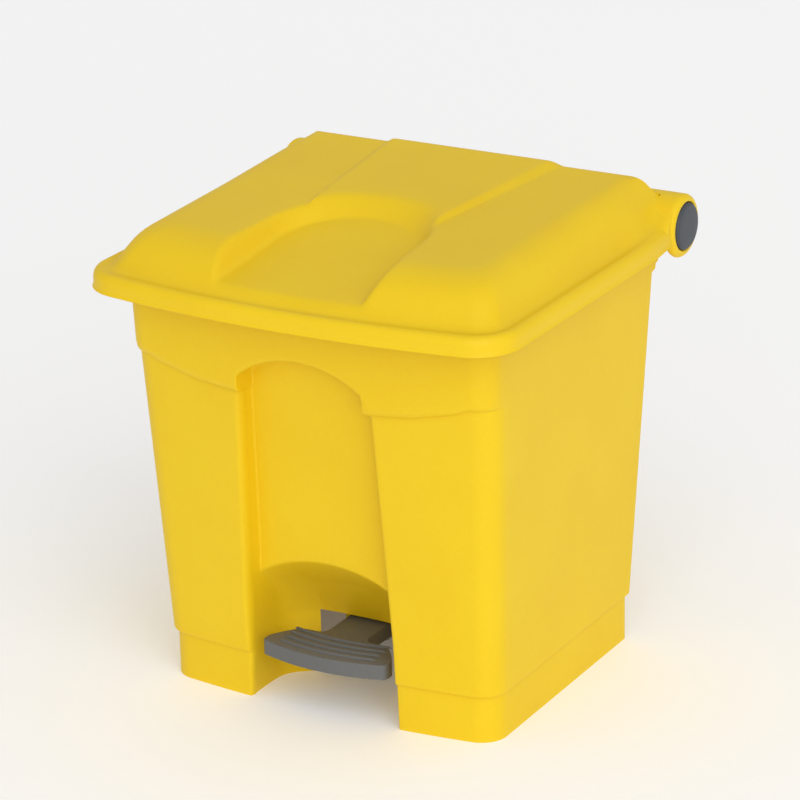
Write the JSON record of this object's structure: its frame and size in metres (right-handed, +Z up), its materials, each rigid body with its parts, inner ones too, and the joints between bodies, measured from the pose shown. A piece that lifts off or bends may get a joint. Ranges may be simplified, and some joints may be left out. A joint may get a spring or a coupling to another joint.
{
  "type": "pedal bin",
  "caption": "Free-standing plastic waste bin with a domed lid on a rear barrel hinge, opened by a foot treadle through a lever and a lift rod.",
  "frame": {"origin": "on the floor, under the middle of the whole bin's bounding box", "axes": "+Z up, -Y towards the pedal and the user, +X to the user's right when facing +Y"},
  "size_m": [0.41, 0.3979, 0.4361],
  "materials": {
    "yellow_plastic": "satin",
    "grey_plastic": "satin",
    "zinc_steel": "zinc plated",
    "nylon": "smooth",
    "rubber": "matt"
  },
  "bodies": {
    "bin": {"body_shell": "yellow_plastic", "rear_cover": "yellow_plastic", "pedal_axle": "zinc_steel", "axle_bush_right": "nylon", "axle_bush_left": "nylon", "axle_clips": "zinc_steel", "hinge_rod": "zinc_steel", "hinge_rod_clips": "zinc_steel"},
    "lid": {"lid_shell": "yellow_plastic", "hinge_cap_right": "grey_plastic", "hinge_cap_left": "grey_plastic", "hinge_bush_right": "nylon", "hinge_bush_left": "nylon", "lift_crank": "zinc_steel", "crank_screws": "zinc_steel", "upper_pin": "zinc_steel", "upper_pin_clip": "zinc_steel", "lid_buffers": "rubber"},
    "pedal": {"pedal_treadle": "grey_plastic", "pedal_lever": "zinc_steel", "lever_screws": "zinc_steel", "lower_pin": "zinc_steel", "lower_pin_clip": "zinc_steel"},
    "rod": {"lift_rod": "zinc_steel"}
  },
  "joints": [
    {"name": "lid_hinge", "type": "hinge", "parent": "bin", "child": "lid", "pos_m": [0, 0.1705, 0.385], "axis": [-1, 0, 0], "range_deg": [0, 66]},
    {"name": "pedal_pivot", "type": "hinge", "parent": "bin", "child": "pedal", "pos_m": [0, 0.008, 0.032], "axis": [1, 0, 0], "range_deg": [0, 14.1]},
    {"name": "rod_pivot", "type": "hinge", "parent": "pedal", "child": "rod", "pos_m": [0, 0.117, 0.032], "axis": [1, 0, 0], "range_deg": [-14.5, 0]}
  ],
  "couplings": [
    {"joint": "pedal_pivot", "follows": "lid_hinge", "ratio": 0.2125},
    {"joint": "rod_pivot", "follows": "lid_hinge", "ratio": -0.2185}
  ]
}
